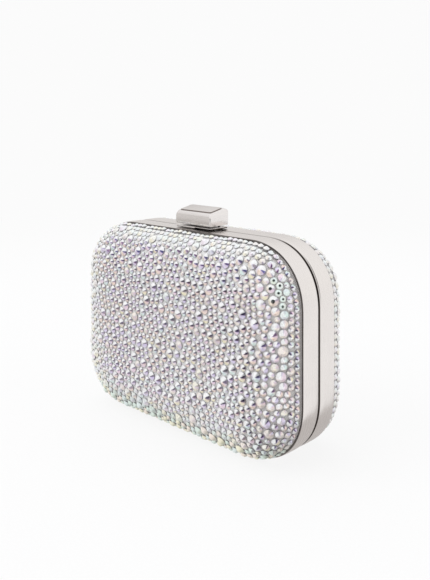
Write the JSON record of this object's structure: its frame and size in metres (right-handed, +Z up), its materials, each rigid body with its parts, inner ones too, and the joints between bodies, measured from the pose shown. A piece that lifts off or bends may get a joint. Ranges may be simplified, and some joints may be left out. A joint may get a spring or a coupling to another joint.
{
  "type": "clutch bag",
  "caption": "Hard-case evening clutch with crystal-covered domed shells, a hinged metal frame and a press clasp block on top.",
  "frame": {"origin": "centre of the case's footprint, on the surface it stands on", "axes": "+X along the case's width, -Y out of the front face, +Z up"},
  "size_m": [0.157, 0.0582, 0.1198],
  "materials": {
    "polished_nickel": "polished, faintly brushed nickel plate",
    "steel": "plain plated steel",
    "spring_steel": "blued spring steel",
    "crystal_fabric": "silver-grey mesh fabric set with flat-back crystals",
    "shell_board": "moulded, matt",
    "satin_lining": "satin"
  },
  "bodies": {
    "back_half": {"back_cover": "crystal_fabric", "back_frame": "polished_nickel", "back_lining": "satin_lining", "back_shell": "shell_board", "base_plate_left_rivet": "steel", "base_plate_right_rivet": "steel", "clasp_base_plate": "steel", "hinge_left_back_leaf": "steel", "hinge_left_back_left_rivet": "steel", "hinge_left_back_right_rivet": "steel", "hinge_left_pin": "steel", "hinge_right_back_leaf": "steel", "hinge_right_back_left_rivet": "steel", "hinge_right_back_right_rivet": "steel", "hinge_right_pin": "steel", "latch_inner_screw": "steel", "latch_outer_screw": "steel", "latch_spacer": "steel", "latch_spring": "spring_steel"},
    "front_half": {"front_cover": "crystal_fabric", "front_frame": "polished_nickel", "front_lining": "satin_lining", "front_shell": "shell_board", "hinge_left_front_leaf": "steel", "hinge_left_front_left_rivet": "steel", "hinge_left_front_right_rivet": "steel", "hinge_right_front_leaf": "steel", "hinge_right_front_left_rivet": "steel", "hinge_right_front_right_rivet": "steel", "striker": "steel", "striker_left_rivet": "steel", "striker_right_rivet": "steel"},
    "clasp": {"clasp_block": "polished_nickel", "clasp_left_clip": "spring_steel", "clasp_left_post": "steel", "clasp_right_clip": "spring_steel", "clasp_right_post": "steel", "clasp_top_plate": "polished_nickel"}
  },
  "joints": [
    {"name": "frame_open", "type": "hinge", "parent": "back_half", "child": "front_half", "pos_m": [0, 0, 0.00145], "axis": [1, 0, 0], "range_deg": [0, 70]},
    {"name": "clasp_press", "type": "slide", "parent": "back_half", "child": "clasp", "axis": [0, 0, -1], "range_m": [0, 0.0008], "stiffness_N_per_m": 1200, "springref_m": -0.0006, "deforming": ["latch_spring"]}
  ]
}
